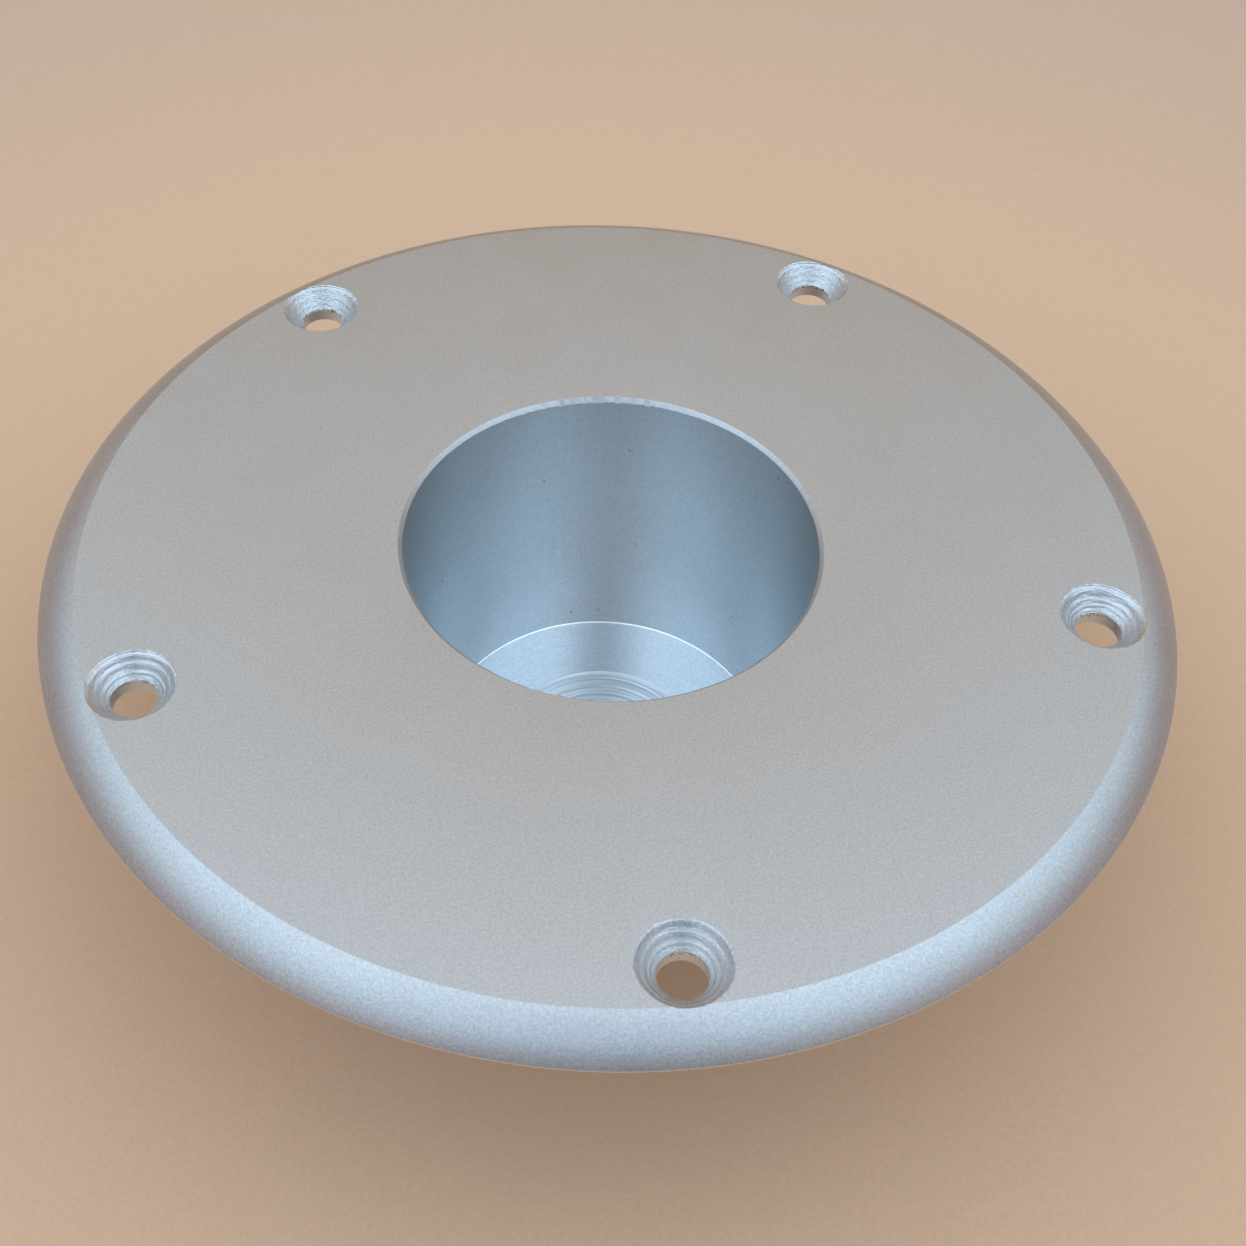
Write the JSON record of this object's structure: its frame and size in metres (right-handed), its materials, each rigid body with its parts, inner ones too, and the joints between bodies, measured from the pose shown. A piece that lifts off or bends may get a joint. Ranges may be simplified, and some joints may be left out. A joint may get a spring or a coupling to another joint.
{
  "type": "tube mounting base",
  "caption": "Round screw-down flange with a rounded rim and a deep tapered socket in a cup below it, for the end of a table leg tube.",
  "frame": {"origin": "centre of the screw circle on the socket's axis, in the plane of the flange's underside", "axes": "+Z along the socket's axis, out of its mouth; one screw hole lies towards -Y"},
  "size_m": [0.165, 0.165, 0.055],
  "materials": {
    "aluminium": "fine blasted satin on the face and rim, smooth turned in the socket and sinks"
  },
  "bodies": {
    "root": {"socket_base": "aluminium"}
  },
  "joints": []
}
